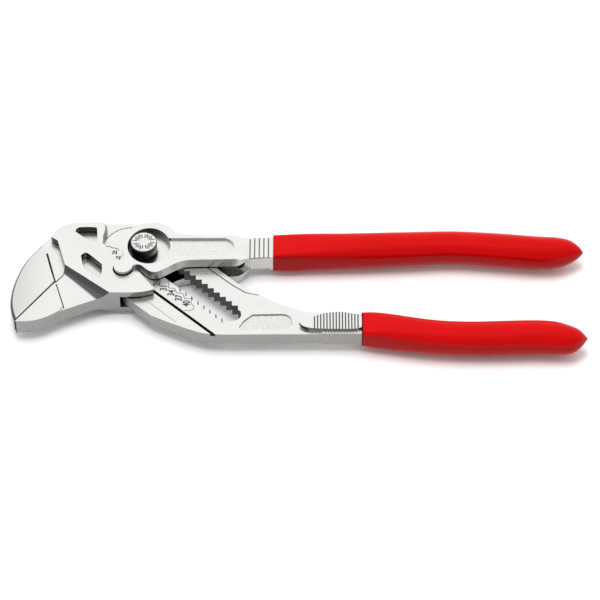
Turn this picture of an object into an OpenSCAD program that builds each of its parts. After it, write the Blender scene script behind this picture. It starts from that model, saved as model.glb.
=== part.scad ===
// Tongue and groove pliers with parallel jaws (pliers wrench), 180 mm size.
// Origin: centre of the overall outline, on the flat rear face of the lever boss.
// The outlines are drawn from the hinge bolt axis and moved there by body().
// +X runs along the handles to their ends, +Z is up through the push button.

/* [Mechanism] */
// Direction of the slide in plan, degrees from +X
slide_angle = -43; // [-50:0.5:-35]
// Tooth pitch of the adjusting slot
pitch = 2.61; // [2:0.01:3.5]
// Distance of the tooth gullets from the slot centre line
gullet_u = 4.5; // [4:0.1:5.5]
// Depth of the slot teeth
tooth_depth = 1.3; // [1:0.05:1.6]
// Distance of the smooth slot edge from the centre line
slot_low = 2.9; // [2.7:0.1:3.5]

/* [Thicknesses] */
// Thickness of the slotted web
web_t = 4.3; // [3.6:0.1:5]
// Thickness of the gripping pads of both jaws
pad_t = 5.5; // [5:0.1:6.5]
// Thickness of the thin part of the sliding jaw
plate_t = 4.7; // [4.4:0.1:5.4]
// Thickness over the two cheeks of the sliding jaw
jaw_t = 9.2; // [8.6:0.1:10.4]
// Thickness over the two cheeks of the lever
lever_t = 12; // [11:0.1:13]
// Width of the channel the web runs in
channel_t = 4.9; // [4.6:0.1:5.4]
// Thickness of the handle tangs
tang_t = 5.4; // [5:0.1:6.4]
// Thickness of the slotted handle at its thumb pad and tang
heel_t = 5; // [4.7:0.1:6]

/* [Bolt] */
// Radius of the push button
button_r = 4.1; // [3.8:0.05:4.3]
// Height of the push button top above the mid plane
button_top = 7.7; // [6.4:0.1:8.2]
// Radius of the bolt shank
shank_r = 2.6; // [2.2:0.05:2.7]
// Half length of the oval pocket round the button
pocket_a = 6.75; // [6.4:0.05:7]
// Half width of that pocket
pocket_b = 7.45; // [7:0.05:7.8]
// Wire diameter of the button spring
wire_d = 0.34; // [0.3:0.02:0.4]

/* [Hidden] */
$fn = 72;
e = 0.01;
mid_z = lever_t / 2;
bolt_x = -48.8;
bolt_y = 12.96;
gap = 0.3;
rail_u = -16.8;
flange_u = 11.1;
groove_u = -9.2;
tip_u = gullet_u - tooth_depth;
pocket_floor = 3.4;
rib_z = 3.5;
seat_z = -4.6;

// open smooth curve through the points of P, n steps for each span
function knot(P, i) = i < 0 ? 2 * P[0] - P[1]
    : i >= len(P) ? 2 * P[len(P) - 1] - P[len(P) - 2] : P[i];
function blend(a, b, c, d, t) = 0.5 * (2 * b + (c - a) * t
    + (2 * a - 5 * b + 4 * c - d) * t * t + (3 * b - a - 3 * c + d) * t * t * t);
function curve(P, n = 4) = concat([for (i = [0:len(P) - 2]) for (k = [0:n - 1])
    blend(knot(P, i - 1), P[i], P[i + 1], knot(P, i + 2), k / n)], [P[len(P) - 1]]);
function arc(c, r, a0, a1, n = 12) =
    [for (k = [0:n]) c + r * [cos(a0 + (a1 - a0) * k / n), sin(a0 + (a1 - a0) * k / n)]];
// point given along (s) and across (u) the slide, in plan
function su(s, u) = [s * cos(slide_angle) - u * sin(slide_angle),
                     s * sin(slide_angle) + u * cos(slide_angle)];

module body() translate([bolt_x, bolt_y, mid_z]) children();
module along() rotate([0, 0, slide_angle]) children();
module slab(P, z0, z1) translate([0, 0, z0]) linear_extrude(z1 - z0) polygon(P);
module both() { children(); mirror([0, 0, 1]) children(); }

// ---- slotted handle with the fixed jaw ----
module handle_outline() polygon(concat(
    curve([[-39.4, -28.1], [-40.6, -24], [-41.1, -19], [-40.1, -11.7], [-37.2, -3.4],
           [-32.6, 3.4], [-28.5, 8.6], [-25, 11], [-20, 12.1], [-12, 12.4], [-3.4, 12.4],
           [1.2, 12], su(-3.4, flange_u)]),
    curve([su(2, flange_u), su(16, flange_u), su(32, flange_u), [37.3, -17.8],
           [42.9, -21], [49.1, -23.5], [56, -24.8], [68.5, -25.4]]),
    curve([[80, -27.4], [94, -29.6], [110, -30.2], [124, -29.8], [130, -30.6]]),
    arc([130.5, -33.3], 2.6, 80, -90),
    curve([[122, -35.4], [108, -36], [94, -35.8], [82, -34.6], [68.5, -33.3]]),
    curve([[40, -33.3], [22.3, -33.3], [15.1, -31.4], [8.9, -28.6], su(19.4, rail_u)]),
    [su(-13.2, rail_u)]));

module fixed_pad() slab(concat(
    curve([[-39.4, -28.1], [-40.6, -24], [-41.1, -19], [-40.1, -11.7], [-37.2, -3.4],
           [-32.6, 3.4]]), [[-31.9, 1.4], [-27.85, -12.1]]), -pad_t / 2, pad_t / 2);

// slanted cut along the top edge of a curve; the metal lies on its right
module bevel_edge(P, top, wide, deep) for (i = [0:len(P) - 2]) {
    d = P[i + 1] - P[i];
    translate([P[i].x, P[i].y, top - deep]) rotate([0, 0, atan2(d.y, d.x)])
        rotate([-atan2(deep, wide), 0, 0]) translate([-0.3, -wide - 1, 0])
            cube([norm(d) + 0.6, wide + 3, 3]);
}

module tooth_slot() slab(concat([[-4.7, -slot_low + 1], [-4.7, tip_u]],
    [for (i = [-1:14]) each [[(i - 0.5) * pitch, tip_u], [i * pitch, gullet_u]]],
    [[14.5 * pitch, tip_u], [38.7, 3.4]], arc([38.1, 0.9], 2.4, 40, -30, 6),
    [[38.6, -slot_low], [-3.7, -slot_low]]), -5, 5);

// the flange line, moved d away from the slot
function flange_line(d) = curve([su(-3, 9.2 + d), su(30, 9.2 + d), [35 + d, -17.2 + d / 2],
    [38.6, -17.6 + d]], 3);

module thumb_rib(x) translate([x, -33, rib_z - 0.45]) cube([0.4, 10, 1]);

module handle_oval() slab(concat(arc([43.6, -28.2], 3.1, 90, -60, 8),
    [[44.5, -31.4], [31.2, -31.4]], curve([[30.2, -30.6], [31.6, -28], [34.4, -25.3]], 4)),
    web_t / 2 - 0.4, 5);

module slotted_handle() color("silver") body() difference() {
    union() {
        translate([0, 0, -web_t / 2]) linear_extrude(web_t) handle_outline();
        fixed_pad();
        // thicker tang under the grip
        translate([0, 0, -heel_t / 2]) linear_extrude(heel_t) intersection() {
            handle_outline();
            translate([56, -60]) square([120, 60]);
        }
        // ribbed thumb pad
        slab(curve([[48.9, -29.6], [49.7, -28.4], [52.4, -27.5], [54.9, -26.1], [58.4, -25.2],
                    [62, -25], [66, -25.8], [68, -26.6], [68, -31.6], [60, -32.2], [53, -31.9],
                    [50, -31], [48.9, -29.6]], 5), 0, rib_z);
    }
    along() tooth_slot();
    both() {
        // guide grooves for the tongues of the sliding jaw
        along() translate([-23, groove_u - 0.5, web_t / 2 - 0.9]) cube([70, 1, 4]);
        // line cut along the upper flange
        slab(concat(flange_line(0), [for (i = [9:-1:0]) flange_line(0.35)[i]]),
            web_t / 2 - 0.5, 5);
        // shallow step along the rail
        slab([su(-12, -13.4), su(27, -13.4), su(29, -24), su(-12, -24)], web_t / 2 - 0.15, 5);
    }
    // bevel round the outside of the fixed jaw and the stop line on its pad
    both() bevel_edge(curve([[-39.4, -28.1], [-40.6, -24], [-41.1, -19], [-40.1, -11.7],
        [-37.2, -3.4], [-32.6, 3.4]]), pad_t / 2, 0.75, 0.8);
    both() slab([[-30.95, -0.5], [-30.45, -0.3], [-27.4, -11.9], [-27.9, -12.1]],
        pad_t / 2 - 0.7, 5);
    handle_oval();
    for (i = [0:14]) thumb_rib(53.4 + i * 0.96);
}

// ---- sliding jaw ----
module jaw_body() slab(concat(
    [[-25.3, -8.9], [-24.6, -6.9], [-27.4, 3.2], [-29.6, 4.9]],
    curve([[-28.3, 7.2], [-26, 9.5], [-23.2, 10.7], [-20, 11], [-13, 11]]),
    curve([[-12.2, 10.6], [-12, 8], [-12.5, 5.1], [-12.5, 2.2], [-11.2, -1.4], [-9.3, -3.6]]),
    [su(-2.2, -8.9)],
    arc(su(1.1, -10.6), 3.2, 180 + slide_angle, 360 + slide_angle, 16),
    curve([su(4.3, -9.4), su(4.7, -8.2), su(6, -8.1), su(8.6, -8.7), su(12.2, -9.4),
           su(13.6, -9.5), su(14.1, -10.3), su(13.6, -11.2)]),
    curve([[2.6, -17.5], [-0.7, -18.2], [-4, -18.4], [-10.2, -18.4], [-12.4, -18.9],
           [-15.1, -19.6], [-17, -20.4]])), -jaw_t / 2, jaw_t / 2);

module jaw_pad() slab(concat([[-39.4, -28.5], [-27.65, -12.75], [-27.1, -12.9]],
    [[-24.6, -22.2]], curve([[-24.9, -23.1], [-26.6, -24.9], [-29.7, -26.8], [-32.7, -28],
    [-36, -28.5], [-39.4, -28.5]])), -pad_t / 2, pad_t / 2);

module jaw_plate() slab(concat([[-39.2, -28.4], [-21, -4], [-10, -14], [-11, -18]],
    curve([[-15.1, -19.6], [-17.5, -20.6], [-20.3, -21.8], [-22.6, -22.9], [-24.9, -23.8],
    [-26.6, -24.9], [-32.7, -28]])), -plate_t / 2, plate_t / 2);

// hollow slope from the cheek down to the plate, wider at its right end:
// f goes from 0 on its upper edge to 1 on the plate, z is the height there
module cove_step(f0, z0, f1, z1) hull() {
    cove_cut(f0, z0);
    cove_cut(f1, z1);
}
module cove_cut(f, z) translate([0, 0, z]) linear_extrude(jaw_t - z) polygon([
    [-26.5, -5.3] + f * [-1.1, -1.3], [-8, -20.1] + f * [-5.2, -1.2], [-20, -36], [-40, -20]]);
module cove() {
    cove_step(0, jaw_t / 2, 0.35, plate_t / 2 + 0.9);
    cove_step(0.35, plate_t / 2 + 0.9, 0.65, plate_t / 2 + 0.3);
    cove_step(0.65, plate_t / 2 + 0.3, 1, plate_t / 2);
}

module jaw_windows() {
    slab(curve([[-22, 7], [-21.6, 8.3], [-20.4, 8.9], [-16.2, 8.9], [-15.2, 8.2],
                [-15, 3.6], [-15.5, 2.7], [-16.9, 2.7], [-18.8, 4.2], [-22, 7]], 3),
         channel_t / 2 - e, 6);
    slab(curve([[-19.8, -3.1], [-18.9, -2.1], [-17.7, -2.1], [-13.5, -6.2], [-13, -7.2],
                [-13, -11.2], [-13.7, -12.1], [-15, -12], [-17.6, -9.6], [-18.9, -7.4],
                [-19.8, -3.1]], 3), channel_t / 2 - e, 6);
}

module sliding_jaw() color("silver") body() difference() {
    union() {
        difference() {
            jaw_body();
            // channel for the web, open towards the fixed jaw
            slab([su(-60, 40), su(30, 40), su(30, rail_u - gap), su(-12.9, rail_u - gap),
                  [-27.6, -12.75], [-45, -36]], -channel_t / 2, channel_t / 2);
            both() {
                cove();
                jaw_windows();
                bevel_edge([[-12.2, 11.4], [-12, 8], [-12.5, 5.1], [-12.5, 2.2]],
                    jaw_t / 2, 0.9, 1.8);
            }
            // open mouth of the channel beside the rail
            slab([[-7.1, -15], [-7.1, -21], [-3, -21], [-3, -18.5]], -channel_t / 2, channel_t / 2);
        }
        difference() {
            union() { jaw_plate(); jaw_pad(); }
            slab([su(-60, 40), su(30, 40), su(30, rail_u - gap), su(-12.9, rail_u - gap),
                  [-27.6, -12.75], [-39, -28.3], [-45, -36]], -3.2, 3.2);
            both() slab([[-27.3, -13.4], [-26.9, -13.3], [-24.1, -22.9], [-24.5, -23.1]],
                plate_t / 2 - 0.25, 5);
        }
        // tongues running in the guide grooves
        both() along() translate([-21, groove_u - 0.3, 1.6]) cube([17.4, 0.6, 1]);
    }
}

// ---- lever handle ----
module lever_outline(in = 0) polygon(concat(
    curve([[-3.4, 7.9], [-5.3, 5.8], [-6.5, 3], [-6.9, 0.1], [-6.6, -2.2], [-6.3, -4.2],
           [-6.7, -5.4], su(-1.2, -9.2)]),
    arc(su(1.1, -10.6), 2.8, 186 + slide_angle, 350 + slide_angle, 14),
    curve([su(3.9, -9.3), [-3.2, -8.5], [-1.9, -8], [-0.7, -8.3], [0.5, -9.4], [1.8, -10.6],
           [3.2, -11.1], [4.9, -10.9], [8.4, -8.7], [10.6, -7.3], [13.4, -6.3], [17.8, -6],
           [24, -5.9], [29.3, -5.6], [31.6, -4.1], [33.4, -2.8], [36, -2.5], [40.6, -2.3]]),
    curve([[60, -1], [80, 0], [98, 1], [112, 0.2], [124, -1], [131, -0.6]]),
    arc([131.5, 2.2], 2.8, -90, 90),
    curve([[124, 4.8], [112, 6], [98, 7.4], [80, 6.6], [60, 6.2], [40.6, 6.2]]),
    curve([[34, 6], [29.5, 4.3], [22, 4.2], [14.4, 4.5], [11.2, 4.9], [9.7, 5.8], [7.6, 8],
           [5, 9.3], [2.2, 9.7], [-0.2, 9.4], [-3.4, 7.9]])));

module lever_cavity() slab(concat([[-30, 30], [12.4, 30]],
    curve([[12.6, 8], [13.4, 6.2], [18.2, 3.6], [23, 2], [28, 1.3]]),
    [[29.3, 0.9], [29.3, -30], [-30, -30]]), -channel_t / 2, channel_t / 2);
// rounded end of the slot between the cheeks, with a relief for the flange below it
module cavity_end() {
    translate([29.2, 0.9, 0]) rotate([90, 0, 0]) cylinder(r = channel_t / 2, h = 30);
    translate([29.2, -12.5, -channel_t / 2]) cube([4.3, 10, channel_t]);
}

// the two cheeks taper down to the tang beyond the slot
module taper() translate([28.8, -20, lever_t / 2]) rotate([0, 35, 0]) cube([5.3, 60, 20]);

module lever_panel() slab(concat([[6, 3], [25.6, 3]], arc([24.8, -0.65], 3.65, 75, -75, 10),
    [[25.6, -4.3], [6, -4.3]]), lever_t / 2 - 0.8, 8);

module lever_handle() color("silver") body() difference() {
    translate([0, 0, -lever_t / 2]) linear_extrude(lever_t) lever_outline();
    lever_cavity();
    cavity_end();
    both() {
        taper();
        translate([33.05, -20, tang_t / 2 + 0.3]) cube([120, 60, 10]);
        for (i = [0:4]) translate([33.15 + 1.45 * i, -20, tang_t / 2 - 0.15]) cube([0.4, 40, 2]);
    }
    // button pocket, its bore, and the long face panel
    slab([for (a = [0:7.5:352.5]) [1.55 + pocket_a * cos(a), -0.2 + pocket_b * sin(a)]],
        pocket_floor, 9);
    cylinder(r = button_r + 0.05, h = 8);
    lever_panel();
    // spring bore, shank bore and ring recess of the rear cheek
    translate([0, 0, seat_z]) cylinder(r = 4.9, h = 4);
    translate([0, 0, -8]) cylinder(r = shank_r + 0.06, h = 8);
    translate([0, 0, -8]) cylinder(r = 4.6, h = 8 - 5.2);
}

// ---- bolt group ----
module hinge_bolt() color("gray") body() {
    difference() {
        union() {
            translate([0, 0, -1.4]) cylinder(r = shank_r, h = 6.8);
            // toothed segment that locks in the slot
            translate([0, 0, -2]) intersection() {
                cylinder(r = button_r, h = 1.05);
                along() linear_extrude(1.05) polygon(concat([[-6, -slot_low + 0.25]],
                    [[-6, tip_u - 0.25], [-pitch, tip_u - 0.25 + tooth_depth]],
                    [[-0.5 * pitch, tip_u - 0.25], [0, gullet_u - 0.25],
                     [0.5 * pitch, tip_u - 0.25], [pitch, tip_u - 0.25 + tooth_depth],
                     [6, tip_u - 0.25], [6, -slot_low + 0.25]]));
            }
            translate([0, 0, -5.9]) cylinder(r = shank_r, h = 5);
        }
        // ring groove
        translate([0, 0, -5.72]) difference() {
            cylinder(r = 4, h = 0.44);
            translate([0, 0, -1]) cylinder(r = 2, h = 3);
        }
    }
}

module push_button() color("silver") body() difference() {
    rotate_extrude() polygon([[0, 3.85], [button_r, 3.85], [button_r, button_top - 0.5],
        [button_r - 0.2, button_top - 0.15], [button_r - 0.6, button_top], [0, button_top]]);
    translate([0, 0, 3]) cylinder(r = shank_r, h = 2.4);
}

function coil(R, r, z0, z1, turns, steps, sides) = [for (i = [0:steps]) for (j = [0:sides - 1])
    let (a = 360 * turns * i / steps, b = 360 * j / sides, q = R + r * cos(b))
    [q * cos(a), q * sin(a), z0 + r + (z1 - z0 - 2 * r) * i / steps + r * sin(b)]];
module spring_wire(R, r, z0, z1, turns) {
    steps = 60; sides = 8;
    polyhedron(coil(R, r, z0, z1, turns, steps, sides), concat(
        [[for (j = [0:sides - 1]) j]],
        [for (i = [0:steps - 1]) for (j = [0:sides - 1]) let (k = (j + 1) % sides)
            [i * sides + j, (i + 1) * sides + j, (i + 1) * sides + k, i * sides + k]],
        [[for (j = [sides - 1:-1:0]) steps * sides + j]]));
}
module button_spring() color("gray") body()
    spring_wire(3.6, wire_d / 2, seat_z + 0.4, -2.05, 2.5);

module spring_seat() color("gray") body() translate([0, 0, seat_z + 0.02]) difference() {
    cylinder(r = 4.6, h = 0.33);
    translate([0, 0, -1]) cylinder(r = shank_r + 0.08, h = 3);
}

module retaining_ring() color("dimgray") body() translate([0, 0, -5.7]) difference() {
    cylinder(r = 3.9, h = 0.4);
    translate([0, 0, -1]) cylinder(r = 2.05, h = 3);
    translate([0, -1.2, -1]) cube([6, 2.4, 3]);
}

// ---- dipped grips ----
// stations: [x, y, half width, half thickness, squareness]
function lerp5(S, t) = let (i = min(floor(t), len(S) - 2)) blend(
    knot(S, i - 1), S[i], S[i + 1], knot(S, i + 2), t - i);
function rim(q, a) = let (c = cos(a), s = sin(a), p = 2 / q[4])
    [q[0], q[1] + q[2] * sign(c) * pow(abs(c), p), q[3] * sign(s) * pow(abs(s), p)];
module loft(S, per, sides) {
    n = (len(S) - 1) * per;
    pts = [for (i = [0:n]) for (j = [0:sides - 1]) rim(lerp5(S, i / per), 360 * j / sides)];
    polyhedron(pts, concat([[for (j = [0:sides - 1]) j]],
        [for (i = [0:n - 1]) for (j = [0:sides - 1]) let (k = (j + 1) % sides)
            [i * sides + j, (i + 1) * sides + j, (i + 1) * sides + k, i * sides + k]],
        [[for (j = [sides - 1:-1:0]) n * sides + j]]));
}
module grip(S) loft(S, 3, 40);

module upper_grip() color("red") body() difference() {
    grip([[40.6, 2, 4.75, 4.1, 7], [45.9, 2.1, 4.95, 4.3, 6], [52.3, 2.5, 5.1, 4.6, 4],
          [61.8, 2.8, 5.3, 4.9, 2.8], [71.3, 3.2, 5.35, 5.1, 2.4], [84, 3.8, 5.3, 5.1, 2.2],
          [98, 4.3, 5.1, 5, 2.2], [112.5, 3.2, 5.25, 5.1, 2.2], [124, 2.1, 5.25, 5.1, 2.1],
          [130.5, 2.1, 4.95, 4.9, 2], [134.6, 2.4, 3.7, 3.8, 2], [137.3, 2.3, 1.9, 2, 2],
          [138.7, 2.1, 0.25, 0.3, 2]]);
    translate([0, 0, -tang_t / 2 - 0.3]) linear_extrude(tang_t + 0.6) lever_outline();
}

module lower_grip() color("red") body() difference() {
    grip([[68.2, -29.4, 4.6, 3.7, 5], [71.4, -29.7, 4.9, 4.1, 4.4], [76, -30.3, 5.1, 4.5, 3.4],
          [83, -31.5, 5.2, 4.9, 2.6], [92, -32.7, 5.1, 5, 2.3], [102, -33.2, 5.15, 5.1, 2.2],
          [112, -33, 5.25, 5.15, 2.2], [121.8, -32.7, 5.3, 5.15, 2.1], [128, -33, 5.25, 5.1, 2],
          [132.5, -33.7, 4.5, 4.5, 2], [135.6, -33.6, 2.9, 3, 2], [138, -33.3, 0.25, 0.3, 2]]);
    translate([0, 0, -heel_t / 2]) linear_extrude(heel_t) handle_outline();
}

slotted_handle();
lower_grip();
sliding_jaw();
lever_handle();
upper_grip();
hinge_bolt();
push_button();
button_spring();
spring_seat();
retaining_ring();
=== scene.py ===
import math

import bmesh
import bpy
from mathutils import Matrix, Vector


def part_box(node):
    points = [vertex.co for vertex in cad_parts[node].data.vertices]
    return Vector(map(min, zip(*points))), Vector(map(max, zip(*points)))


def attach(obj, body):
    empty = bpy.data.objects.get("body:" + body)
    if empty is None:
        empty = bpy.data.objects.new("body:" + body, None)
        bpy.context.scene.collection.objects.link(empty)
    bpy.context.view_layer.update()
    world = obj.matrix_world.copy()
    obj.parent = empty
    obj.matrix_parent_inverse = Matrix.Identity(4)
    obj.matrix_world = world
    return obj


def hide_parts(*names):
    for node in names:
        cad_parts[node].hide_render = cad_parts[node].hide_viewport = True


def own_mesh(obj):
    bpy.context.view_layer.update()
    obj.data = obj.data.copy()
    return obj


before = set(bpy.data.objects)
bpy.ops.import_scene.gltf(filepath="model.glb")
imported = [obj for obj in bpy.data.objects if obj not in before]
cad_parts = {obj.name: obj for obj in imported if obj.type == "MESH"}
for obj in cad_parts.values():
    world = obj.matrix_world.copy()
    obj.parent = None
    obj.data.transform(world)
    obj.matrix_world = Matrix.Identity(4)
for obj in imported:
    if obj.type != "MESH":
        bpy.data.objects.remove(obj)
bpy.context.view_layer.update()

MM = 0.001
BOLT = Vector((-48.8, 12.96, 6.0))  # bolt axis at mid thickness, mm
SLIDE = math.radians(-43)  # direction of the slide in plan
WEB = 2.15  # the web's face above the mid plane, mm
OVAL_FLOOR = 1.75  # the floor of the oval recess above the mid plane, mm
BUTTON_TOP = 7.7  # the push button's face above the mid plane, mm
EDGE = 0.05 * MM  # blend at the edge of a mask, narrow enough to look sharp


def plan(x, y, z=0.0):
    """Point given in mm from the bolt axis and mid plane, in metres."""
    return Vector((BOLT.x + x, BOLT.y + y, BOLT.z + z)) * MM


def at_x(x):
    return (BOLT.x + x) * MM


def at_y(y):
    return (BOLT.y + y) * MM


# ---------------------------------------------------------------- shader nodes
def new_mat(name):
    m = bpy.data.materials.new(name)
    m.use_nodes = True
    nt = m.node_tree
    nt.nodes.clear()
    out = nt.nodes.new("ShaderNodeOutputMaterial")
    b = nt.nodes.new("ShaderNodeBsdfPrincipled")
    nt.links.new(b.outputs[0], out.inputs[0])
    return m, nt, b


def put(nt, sock, v):
    if isinstance(v, (int, float)):
        sock.default_value = v
    else:
        nt.links.new(v, sock)


def calc(nt, op, a, b=0.0):
    n = nt.nodes.new("ShaderNodeMath")
    n.operation = op
    put(nt, n.inputs[0], a)
    if len(n.inputs) > 1:
        put(nt, n.inputs[1], b)
    return n.outputs[0]


def ramp(nt, src, p0, v0, p1, v1):
    """v0 up to p0, v1 from p1 on, and smooth in between."""
    r = nt.nodes.new("ShaderNodeMapRange")
    r.interpolation_type = "SMOOTHSTEP"
    for key, v in (("From Min", p0), ("From Max", p1), ("To Min", v0), ("To Max", v1)):
        r.inputs[key].default_value = v
    nt.links.new(src, r.inputs["Value"])
    return r.outputs["Result"]


def rises(nt, src, lo, hi):
    return ramp(nt, src, lo, 0.0, hi, 1.0)


def falls(nt, src, lo, hi):
    return ramp(nt, src, lo, 1.0, hi, 0.0)


def noise(nt, scale, detail, vec):
    n = nt.nodes.new("ShaderNodeTexNoise")
    n.inputs["Scale"].default_value = scale
    n.inputs["Detail"].default_value = detail
    nt.links.new(vec, n.inputs["Vector"])
    return n.outputs["Fac"]


def dot(nt, vec, d):
    n = nt.nodes.new("ShaderNodeVectorMath")
    n.operation = "DOT_PRODUCT"
    n.inputs[1].default_value = d
    nt.links.new(vec, n.inputs[0])
    return n.outputs["Value"]


def away(nt, vec, p):
    """Distance in plan from point p, in metres."""
    s = nt.nodes.new("ShaderNodeVectorMath")
    s.operation = "SUBTRACT"
    s.inputs[1].default_value = p
    nt.links.new(vec, s.inputs[0])
    m = nt.nodes.new("ShaderNodeVectorMath")
    m.operation = "MULTIPLY"
    m.inputs[1].default_value = (1, 1, 0)
    nt.links.new(s.outputs[0], m.inputs[0])
    n = nt.nodes.new("ShaderNodeVectorMath")
    n.operation = "LENGTH"
    nt.links.new(m.outputs[0], n.inputs[0])
    return n.outputs["Value"]


def blend_colour(nt, fac, a, b, blend_type="MIX"):
    """fac is a socket or a number; a and b are sockets or colours."""
    mix = nt.nodes.new("ShaderNodeMix")
    mix.data_type = "RGBA"
    mix.blend_type = blend_type
    for key, c in (("A", a), ("B", b)):
        if isinstance(c, tuple):
            mix.inputs[key].default_value = (*c, 1)
        else:
            nt.links.new(c, mix.inputs[key])
    put(nt, mix.inputs["Factor"], fac)
    return mix.outputs["Result"]


def bump(nt, b, src, strength, distance):
    n = nt.nodes.new("ShaderNodeBump")
    n.inputs["Strength"].default_value = strength
    n.inputs["Distance"].default_value = distance
    nt.links.new(src, n.inputs["Height"])
    nt.links.new(n.outputs["Normal"], b.inputs["Normal"])


def part_point(nt):
    return nt.nodes.new("ShaderNodeTexCoord").outputs["Object"]


def flatness(nt):
    """1 on faces parallel to the web, 0 on walls across it."""
    norm = nt.nodes.new("ShaderNodeTexCoord").outputs["Normal"]
    return calc(nt, "ABSOLUTE", dot(nt, norm, (0, 0, 1)))


def grey(v):
    return (v, v, v * 0.992)


def steel(name, face, side, rough, masks=(), knee=(0.72, 0.96), crevice_shade=(0.12, 0.5)):
    """Satin plated steel: face is the grey of flat faces and side the darker grey painted on walls
    as shade, and knee the flatness between which one turns into the other. Each mask comes
    with the grey painted there, most of them as painted shade. Crevices get painted shade,
    near black, between the two openness values of the last argument."""
    m, nt, b = new_mat(name)
    pos = part_point(nt)
    up = flatness(nt)
    fine = noise(nt, 2600, 3.0, pos)
    broad = noise(nt, 110, 3.0, pos)
    # painted shade: walls take the darker side grey, flat faces the face grey
    flat = rises(nt, up, *knee)
    col = blend_colour(nt, flat, grey(side), grey(face))
    tone = blend_colour(nt, rises(nt, broad, 0.3, 0.7), (0.97, 0.97, 0.97), (1.0, 1.0, 1.0))
    col = blend_colour(nt, 1.0, col, tone, "MULTIPLY")
    for mask, v in masks:
        col = blend_colour(nt, mask(nt, pos, up), col, grey(v))
    # painted shade: near black in crevices that ambient occlusion finds
    ao = nt.nodes.new("ShaderNodeAmbientOcclusion")
    ao.samples = 16
    ao.inputs["Distance"].default_value = 1.4 * MM
    col = blend_colour(nt, falls(nt, ao.outputs["AO"], *crevice_shade), col, grey(0.04))
    nt.links.new(col, b.inputs["Base Color"])
    nt.links.new(ramp(nt, fine, 0.3, rough - 0.05, 0.7, rough + 0.06), b.inputs["Roughness"])
    bump(nt, b, fine, 0.1, 0.01 * MM)
    b.inputs["Metallic"].default_value = 1.0
    return m


# ---------------------------------------------------------------- places on a part
def along_x(nt, pos):
    return dot(nt, pos, (1, 0, 0))


def along_y(nt, pos):
    return dot(nt, pos, (0, 1, 0))


def part_z(nt, pos):
    """Height above the mid plane, negative below it."""
    return calc(nt, "SUBTRACT", dot(nt, pos, (0, 0, 1)), BOLT.z * MM)


def height(nt, pos):
    """Distance from the mid plane on either side."""
    return calc(nt, "ABSOLUTE", part_z(nt, pos))


def all_of(nt, *factors):
    out = factors[0]
    for f in factors[1:]:
        out = calc(nt, "MULTIPLY", out, f)
    return out


def line_uv(nt, pos, p, direction):
    """Distances along and to the left of a line through plan point p, in metres."""
    d = Vector(direction).normalized()
    o = plan(*p)
    s = calc(nt, "SUBTRACT", dot(nt, pos, (d.x, d.y, 0)), d.x * o.x + d.y * o.y)
    u = calc(nt, "SUBTRACT", dot(nt, pos, (-d.y, d.x, 0)), -d.y * o.x + d.x * o.y)
    return s, u


def slide_uv(nt, pos):
    return line_uv(nt, pos, (0, 0), (math.cos(SLIDE), math.sin(SLIDE)))


def band(nt, src, lo, hi, soft=EDGE):
    """1 between lo and hi, 0 outside."""
    return all_of(nt, rises(nt, src, lo - soft, lo), falls(nt, src, hi, hi + soft))


def within(nt, v, half, soft):
    """1 where v is within half of 0."""
    return falls(nt, calc(nt, "ABSOLUTE", v), half, half + soft)


# ---------------------------------------------------------------- masks, from 0 to 1, most of them painted shade
# pos is the shaded point on the part; up is 1 on faces parallel to the web, 0 on walls
def slot_wall_shade(nt, pos, up):
    """Painted shade on the toothed walls of the adjusting slot."""
    s, u = slide_uv(nt, pos)
    return all_of(
        nt,
        rises(nt, s, -5.3 * MM, -5.1 * MM),
        falls(nt, s, 41.2 * MM, 41.4 * MM),
        within(nt, calc(nt, "SUBTRACT", u, 0.8 * MM), 4 * MM, 0.2 * MM),
        falls(nt, up, 0.3, 0.7),
    )


def groove_floor_shade(nt, pos, up):
    """Painted shade on the bottom of the guide groove."""
    u = slide_uv(nt, pos)[1]
    z = height(nt, pos)
    return all_of(
        nt,
        within(nt, calc(nt, "ADD", u, 9.2 * MM), 0.6 * MM, 0.1 * MM),
        falls(nt, z, 1.95 * MM, 2.1 * MM),
        rises(nt, up, 0.6, 0.9),
    )


def cheek_gap_shade(nt, pos, up):
    """Painted shade inside the slot between the two cheeks of the lever, fading out at its end."""
    z = height(nt, pos)
    x = along_x(nt, pos)
    return all_of(
        nt,
        falls(nt, z, 2.52 * MM, 2.6 * MM),
        falls(nt, x, at_x(18), at_x(27.5)),
    )


def button_pocket_shade(nt, pos, up):
    """Painted shade on the walls of the button's recess and on its floor round the button."""
    z = part_z(nt, pos)
    wall = falls(nt, up, 0.3, 0.7)
    floor = falls(nt, away(nt, pos, plan(-1.3, -1.2)), 5.2 * MM, 6.2 * MM)
    return all_of(
        nt,
        calc(nt, "MAXIMUM", wall, floor),
        falls(nt, away(nt, pos, plan(1.55, -0.2)), 7.5 * MM, 7.7 * MM),
        falls(nt, z, 5.7 * MM, 5.9 * MM),
    )


def jaw_gap_shade(nt, pos, up):
    """Painted shade in the narrow gap between the two closed jaws."""
    s, u = line_uv(nt, pos, (-39.4, -28.3), (11.65, 15.9))
    return all_of(
        nt,
        band(nt, s, -0.3 * MM, 19.8 * MM),
        within(nt, u, 0.5 * MM, 0.1 * MM),
        falls(nt, up, 0.9, 0.99),
    )


def cove_slope_shade(nt, pos, up):
    """Painted shade on the hollow slope between the cheek and the plate of the sliding jaw."""
    z = height(nt, pos)
    s, u = line_uv(nt, pos, (-24.6, -6.9), (14.4, -11.5))
    return all_of(
        nt,
        rises(nt, z, 2.35 * MM, 2.52 * MM),
        falls(nt, z, 4.4 * MM, 4.58 * MM),
        rises(nt, up, 0.12, 0.25),
        band(nt, s, -2 * MM, 19 * MM),
        band(nt, u, -4.8 * MM, 0.4 * MM),
    )


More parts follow.
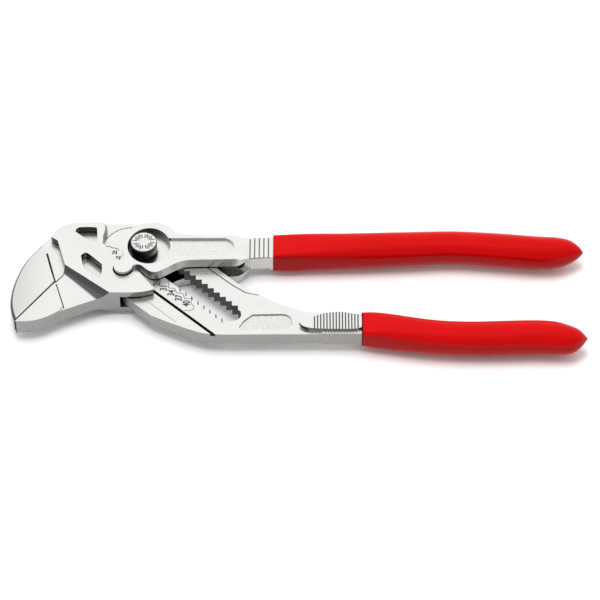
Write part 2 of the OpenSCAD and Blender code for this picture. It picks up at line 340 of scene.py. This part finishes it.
def step_shadow_line(p, q, half, top):
    """A dark line of painted shadow along the step from p to q, half its width to each side, below
    height top, mm.
    """
    length = (Vector(q) - Vector(p)).length

    def mask(nt, pos, up):
        s, u = line_uv(nt, pos, p, Vector(q) - Vector(p))
        return all_of(
            nt,
            band(nt, s, -0.3 * MM, (length + 0.3) * MM),
            within(nt, u, half * MM, 0.05 * MM),
            falls(nt, height(nt, pos), (top - 0.05) * MM, top * MM),
        )

    return mask


def outer_bevel_shade(nt, pos, up):
    """Painted shade on the slanted cut round the outside of the fixed jaw."""
    z = height(nt, pos)
    return all_of(
        nt,
        band(nt, up, 0.45, 0.93),
        rises(nt, z, 1.8 * MM, 1.9 * MM),
        falls(nt, along_x(nt, pos), at_x(-33), at_x(-32)),
    )


def pad_nose_shade(nt, pos, up):
    """Painted shade on the rounded front of the ribbed thumb pad."""
    return all_of(
        nt,
        falls(nt, up, 0.5, 0.9),
        rises(nt, part_z(nt, pos), 2.1 * MM, 2.3 * MM),
        band(nt, along_x(nt, pos), at_x(48), at_x(51.3), 1 * MM),
    )


def rib_groove_shade(z, x0, x1):
    """Painted shade in the grooves between the ribs, floor at height z, mm."""

    def mask(nt, pos, up):
        return all_of(
            nt,
            band(nt, height(nt, pos), (z - 0.05) * MM, (z + 0.25) * MM),
            band(nt, along_x(nt, pos), at_x(x0), at_x(x1)),
        )

    return mask


def pad_tone(nt, pos, up):
    """The ground pads of both jaws are a little duller towards their tips."""
    x = along_x(nt, pos)
    return all_of(
        nt,
        ramp(nt, x, at_x(-44), 0.45, at_x(-27), 0.0),
        rises(nt, height(nt, pos), 2.6 * MM, 2.7 * MM),
    )


def cheek_wall_shade(nt, pos, up):
    """Painted shade on the step between the cheek of the sliding jaw and the fixed jaw's pad."""
    z = height(nt, pos)
    return all_of(
        nt,
        rises(nt, z, 2.4 * MM, 2.5 * MM),
        falls(nt, up, 0.4, 0.8),
        falls(nt, along_x(nt, pos), at_x(-24.3), at_x(-24)),
        band(nt, along_y(nt, pos), at_y(-7), at_y(4), 1 * MM),
    )


def stipple(z_lo, z_hi, x_lo, x_hi, y_lo, y_hi):
    """Fine stippling on a recess floor between those heights and edges, mm."""

    def mask(nt, pos, up):
        speck = rises(nt, noise(nt, 2200, 2.0, pos), 0.5, 0.56)
        return all_of(
            nt,
            band(nt, part_z(nt, pos), z_lo * MM, z_hi * MM),
            band(nt, along_x(nt, pos), at_x(x_lo), at_x(x_hi), 0.3 * MM),
            band(nt, along_y(nt, pos), at_y(y_lo), at_y(y_hi), 0.3 * MM),
            rises(nt, up, 0.8, 0.95),
            speck,
        )

    return mask


def window_wall_shade(nt, pos, up):
    """Painted shade on the walls of the two windows in the cheek of the sliding jaw."""
    wall = falls(nt, up, 0.3, 0.7)
    near = calc(
        nt,
        "MAXIMUM",
        falls(nt, away(nt, pos, plan(-18, 6)), 4.5 * MM, 4.7 * MM),
        falls(nt, away(nt, pos, plan(-16.3, -7.2)), 5.5 * MM, 5.7 * MM),
    )
    return all_of(nt, wall, near)


# ---------------------------------------------------------------- materials
# side is the grey painted on walls as shade; the masks paint shade too, except the pad tone and the
# stippling
HANDLE = steel(
    "chrome_slotted_handle",
    face=0.89,
    side=0.30,
    rough=0.28,
    masks=[
        (pad_tone, 0.45),
        (slot_wall_shade, 0.07),
        (groove_floor_shade, 0.04),
        (jaw_gap_shade, 0.03),
        (outer_bevel_shade, 0.10),
        (rib_groove_shade(3.05, 53, 67.5), 0.12),
        (pad_nose_shade, 0.07),
        (step_shadow_line((-30.7, -0.4), (-27.65, -12), 0.3, 2.7), 0.04),
        (stipple(OVAL_FLOOR - 0.05, OVAL_FLOOR + 0.05, 31, 46, -31.2, -25.4), 0.72),
    ],
)
JAW = steel(
    "chrome_jaw",
    face=0.89,
    side=0.29,
    rough=0.28,
    masks=[
        (pad_tone, 0.7),
        (window_wall_shade, 0.07),
        (cove_slope_shade, 0.13),
        (cheek_wall_shade, 0.06),
        (jaw_gap_shade, 0.03),
        (step_shadow_line((-27.1, -13.35), (-24.3, -23), 0.24, 2.3), 0.12),
    ],
)
LEVER = steel(
    "chrome_lever",
    face=0.90,
    side=0.54,
    rough=0.28,
    masks=[
        (cheek_gap_shade, 0.04),
        (button_pocket_shade, 0.07),
        (stipple(5.15, 5.25, 9, 29, -6, 5), 0.8),
        (rib_groove_shade(2.55, 33, 39.6), 0.2),
    ],
    knee=(0.5, 0.8),
    crevice_shade=(0.05, 0.35),
)
BUTTON = steel("button_chrome", face=0.88, side=0.20, rough=0.25)
DARK = steel("bolt_dark", face=0.22, side=0.12, rough=0.42)
SPRING = steel("spring_steel", face=0.38, side=0.34, rough=0.38)


def make_ink(name, v):
    """A dull dark mark of grey v."""
    m, nt, b = new_mat(name)
    b.inputs["Metallic"].default_value = 0.0
    b.inputs["Specular IOR Level"].default_value = 0.1
    n = noise(nt, 3000, 2.0, part_point(nt))
    nt.links.new(blend_colour(nt, n, grey(v * 0.8), grey(v * 1.2)), b.inputs["Base Color"])
    nt.links.new(ramp(nt, n, 0.3, 0.5, 0.7, 0.7), b.inputs["Roughness"])
    return m


def make_red():
    """Glossy dipped vinyl with a dark rim where the lower grip ends, its walls painted a darker red than
    its flat faces as shade.
    """
    m, nt, b = new_mat("red_dipped_vinyl")
    pos = part_point(nt)
    broad = noise(nt, 60, 2.0, pos)
    fine = noise(nt, 1500, 2.0, pos)
    body = blend_colour(nt, rises(nt, broad, 0.3, 0.7), (0.50, 0.0, 0.0), (0.54, 0.0, 0.001))
    # painted shade: walls darker red than the flat faces
    col = blend_colour(nt, rises(nt, flatness(nt), 0.1, 0.6), (0.37, 0.0, 0.0), body)
    end = falls(nt, along_x(nt, pos), 19.7 * MM, 19.9 * MM)
    rim = all_of(nt, end, falls(nt, along_y(nt, pos), -6 * MM, -5 * MM))
    col = blend_colour(nt, rim, col, (0.09, 0.0, 0.0))
    nt.links.new(col, b.inputs["Base Color"])
    nt.links.new(ramp(nt, fine, 0.3, 0.19, 0.7, 0.22), b.inputs["Roughness"])
    b.inputs["Specular IOR Level"].default_value = 0.12
    bump(nt, b, broad, 0.08, 0.1 * MM)
    return m


INK = make_ink("engraved_mark", 0.05)
LEADER = make_ink("leader_line", 0.16)
FAINT = make_ink("faint_line", 0.22)
RED = make_red()


# ---------------------------------------------------------------- CAD nodes
def dress(node, mat, bevel, angle=32):
    """Gives a node its material and rounds edges sharper than angle degrees by bevel mm."""
    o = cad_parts[node]
    o.data.materials.clear()
    o.data.materials.append(mat)
    for face in o.data.polygons:
        face.use_smooth = True
        face.material_index = 0
    weld = o.modifiers.new("weld", "WELD")
    weld.merge_threshold = 0.002 * MM
    if bevel:
        b = o.modifiers.new("bevel", "BEVEL")
        b.width = bevel * MM
        b.segments = 2
        b.limit_method = "ANGLE"
        b.angle_limit = math.radians(angle)
        b.use_clamp_overlap = True
        b.harden_normals = False
    normals = o.modifiers.new("normals", "WEIGHTED_NORMAL")
    normals.keep_sharp = False


dress("slotted_handle", HANDLE, 0.14)
dress("sliding_jaw", JAW, 0.18)
dress("lever_handle", LEVER, 0.3)
dress("hinge_bolt", DARK, 0.08)
dress("push_button", BUTTON, 0.08)
dress("spring_seat", SPRING, 0)
dress("retaining_ring", SPRING, 0.05)
for grip in ("upper_grip", "lower_grip"):
    dress(grip, RED, 0.3, 50)


# ---------------------------------------------------------------- fine marks
def obj_from(name, bm, mat, body):
    me = bpy.data.meshes.new(name)
    bm.to_mesh(me)
    bm.free()
    me.materials.append(mat)
    o = bpy.data.objects.new(name, me)
    bpy.context.scene.collection.objects.link(o)
    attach(o, body)
    return o


BOX_FACES = ((3, 2, 1, 0), (4, 5, 6, 7), (0, 1, 5, 4), (1, 2, 6, 5), (2, 3, 7, 6), (3, 0, 4, 7))
SUNK = -0.05  # how far a ribbon reaches into the face under it, mm


def stroke(bm, pts, width, h):
    """A flat ribbon of that width along pts, h high, mm; its ends reach 0.3 widths further."""
    for a, b in zip(pts, pts[1:]):
        d = (b - a).normalized()
        n = Vector((-d.y, d.x, 0)) * width * 0.5 * MM
        e = d * width * 0.3 * MM
        vs = [
            bm.verts.new(p + Vector((0, 0, z * MM)))
            for z in (SUNK, h)
            for p in (a - n - e, b - n + e, b + n + e, a + n - e)
        ]
        for f in BOX_FACES:
            bm.faces.new([vs[i] for i in f])


def digit(name, text, x, y, size):
    """A scale number on the web, squeezed along its line to suit the stamp."""
    c = bpy.data.curves.new(name, "FONT")
    c.body = text
    c.size = size * 1.35 * MM
    c.align_x = "CENTER"
    c.align_y = "CENTER"
    c.extrude = 0.03 * MM
    c.offset = 0.08 * MM
    c.materials.append(INK)
    o = bpy.data.objects.new(name, c)
    bpy.context.scene.collection.objects.link(o)
    turn = Matrix.Rotation(math.radians(86), 4, "Z")
    squeeze = Matrix.Diagonal((0.78, 1, 1, 1))
    o.matrix_world = Matrix.Translation(plan(x, y, WEB)) @ turn @ squeeze
    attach(o, "handle")


def line_set(name, lines, width, z, mat):
    """Ribbons on the slotted handle, on the face at height z, mm."""
    bm = bmesh.new()
    for pts in lines:
        stroke(bm, [plan(x, y, z) for x, y in pts], width, 0.02)
    obj_from(name, bm, mat, "handle")


ticks = [[(11.6 + 1.9 * i, -14.75 - 1.78 * i), (11.65 + 1.9 * i, -15.9 - 1.78 * i)] for i in range(8)]
upper_leader = [
    (7.9, -11.6),
    (8.0, -14.4),
    (10.0, -14.7),
    (10.5, -16.4),
    (12.6, -16.8),
    (13.2, -18.9),
    (15.3, -18.9),
    (15.3, -18.0),
]
lower_leader = [(15.2, -19.8), (15.3, -21.0), (16.1, -22.0), (16.0, -23.1), (14.9, -23.8), (13.1, -23.6)]
edge = [(-12.3, 3.0), (-11.0, 2.9), (-10.3, 2.3), (-8.9, 2.1), (-8.0, 1.3)]
arc = [(-13.0, 4.3), (-11.8, 6.7), (-10.6, 8.2), (-9.1, 9.4), (-7.5, 10.3), (-5.9, 10.7), (-4.3, 10.9)]
# outline of the stippled oval on the handle
oval = [
    (46.6, -28.0),
    (46.4, -29.6),
    (45.4, -30.9),
    (44.2, -31.35),
    (31.4, -31.35),
    (30.3, -30.5),
    (31.1, -28.7),
    (33.0, -26.6),
]
# text, place and height, mm
numbers = (
    ("28", 4.4, -12.4, 2.3),
    ("31", 6.6, -14.4, 2.3),
    ("34", 9.0, -16.5, 2.3),
    ("37", 11.4, -18.6, 2.3),
    ("40", 13.8, -20.8, 2.3),
    ("25", -9.3, 0.4, 1.5),
    ("22", -8.2, -1.9, 1.5),
)
line_set("scale_ticks", ticks, 0.36, WEB, INK)
line_set("scale_leaders", [upper_leader, lower_leader], 0.22, WEB, LEADER)
for i, (text, x, y, size) in enumerate(numbers):
    digit("scale_number_%d" % i, text, x, y, size)
line_set("scale_edge", [edge], 0.25, WEB, INK)
line_set("web_arc", [arc], 0.35, WEB, FAINT)
line_set("oval_edge", [oval], 0.26, OVAL_FLOOR, FAINT)

# generic ring of short marks on the push button, in four groups of six
bm = bmesh.new()
for k in range(28):
    if k % 7 == 6:
        continue
    a = 2 * math.pi * k / 28 + 0.3
    radii = (1.7, 3.0) if k % 2 else (2.2, 3.4)
    stroke(bm, [plan(r * math.cos(a), r * math.sin(a), BUTTON_TOP) for r in radii], 0.3, 0.0)
obj_from("button_marks", bm, FAINT, "bolt")


# ---------------------------------------------------------------- spring
def helix(bm, centre, radius, wire, z0, z1, turns, steps=150, sides=12):
    """A coil of round wire between heights z0 and z1, all in metres."""
    rings = []
    for i in range(steps + 1):
        a = 2 * math.pi * turns * i / steps
        z = z0 + wire / 2 + (z1 - z0 - wire) * i / steps
        ring = []
        for j in range(sides):
            b = 2 * math.pi * j / sides
            q = radius + wire / 2 * math.cos(b)
            x = centre.x + q * math.cos(a)
            y = centre.y + q * math.sin(a)
            ring.append(bm.verts.new((x, y, z + wire / 2 * math.sin(b))))
        rings.append(ring)
    for one, two in zip(rings, rings[1:]):
        for j in range(sides):
            k = (j + 1) % sides
            bm.faces.new((one[j], two[j], two[k], one[k]))
    bm.faces.new(rings[0])
    bm.faces.new(rings[-1][::-1])


spring_low, spring_high = (Vector(c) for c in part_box("button_spring"))
WIRE = 0.34 * MM
COIL_RADIUS = 3.6 * MM
bm = bmesh.new()
helix(bm, plan(0, 0), COIL_RADIUS, WIRE, spring_low.z, spring_high.z, turns=2.5)
bmesh.ops.recalc_face_normals(bm, faces=bm.faces)
spring = obj_from("button_spring_coil", bm, SPRING, "carrier")
for face in spring.data.polygons:
    face.use_smooth = True
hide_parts("button_spring")
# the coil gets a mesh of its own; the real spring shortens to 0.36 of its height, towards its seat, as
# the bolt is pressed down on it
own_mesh(spring)

# ---------------------------------------------------------------- stage
floor_mat, nt, b = new_mat("floor_white")
b.inputs["Base Color"].default_value = (0.9, 0.9, 0.9, 1)
b.inputs["Roughness"].default_value = 0.9
bpy.ops.mesh.primitive_plane_add(size=6, location=(0, 0, -0.2 * MM))
floor = bpy.context.object
floor.name = "floor"
floor.data.materials.append(floor_mat)

# light all round, brighter towards the back and above
world = bpy.data.worlds.new("studio")
bpy.context.scene.world = world
world.use_nodes = True
nt = world.node_tree
background = nt.nodes["Background"]
look = nt.nodes.new("ShaderNodeTexCoord").outputs["Generated"]
bright = rises(nt, dot(nt, look, (0, 0.8, 0.6)), -0.1, 0.65)
sky = blend_colour(nt, bright, (0.52, 0.52, 0.52), (1.0, 1.0, 1.0))
nt.links.new(sky, background.inputs[0])
background.inputs[1].default_value = 1.0

KEY_AT = Vector((-0.1, 0.05, 1.1))  # it faces the origin
key_data = bpy.data.lights.new("key", "AREA")
key_data.shape = "RECTANGLE"
key_data.size = 0.7
key_data.size_y = 0.5
key_data.energy = 8.5
key = bpy.data.objects.new("key", key_data)
bpy.context.scene.collection.objects.link(key)
key.location = KEY_AT
key.rotation_euler = (-KEY_AT).to_track_quat("-Z", "Y").to_euler()
key.visible_glossy = False  # the ground faces would mirror it as one white patch
bpy.context.scene.view_settings.view_transform = "Standard"

ELEVATION = math.radians(49.5)
DISTANCE = 0.9375
TARGET = Vector((0.3058, -4.6007, 6.0)) * MM
cam_data = bpy.data.cameras.new("camera")
cam_data.lens = 180
cam_data.sensor_width = 36
cam_data.clip_start = 0.01
cam_data.dof.use_dof = False
cam = bpy.data.objects.new("camera", cam_data)
bpy.context.scene.collection.objects.link(cam)
cam.location = TARGET + DISTANCE * Vector((0, -math.cos(ELEVATION), math.sin(ELEVATION)))
cam.rotation_euler = (math.pi / 2 - ELEVATION, 0, 0)
bpy.context.scene.camera = cam
